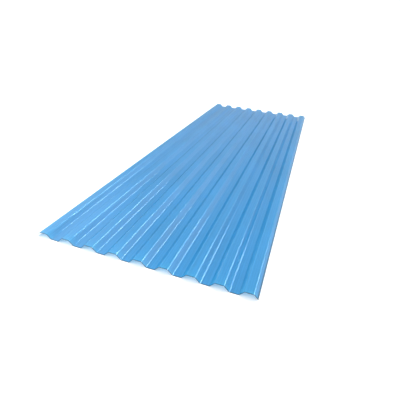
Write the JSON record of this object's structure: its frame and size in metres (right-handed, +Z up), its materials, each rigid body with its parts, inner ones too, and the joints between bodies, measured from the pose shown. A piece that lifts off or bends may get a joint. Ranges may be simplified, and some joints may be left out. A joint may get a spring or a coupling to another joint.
{
  "type": "corrugated polycarbonate sheet",
  "caption": "Blue polycarbonate roofing sheet folded into flat-topped trapezoidal corrugations, with both side edges ending part of the way down a flank.",
  "frame": {"origin": "middle of the sheet's plan, level with the undersides of the valleys", "axes": "+X across the corrugations, +Y along them, +Z up out of the sheet's weather side"},
  "size_m": [0.6564, 1.829, 0.0151],
  "materials": {
    "blue_polycarbonate": "translucent sky-blue extruded polycarbonate with a satin gloss"
  },
  "bodies": {
    "root": {"corrugated_sheet": "blue_polycarbonate"}
  },
  "joints": []
}
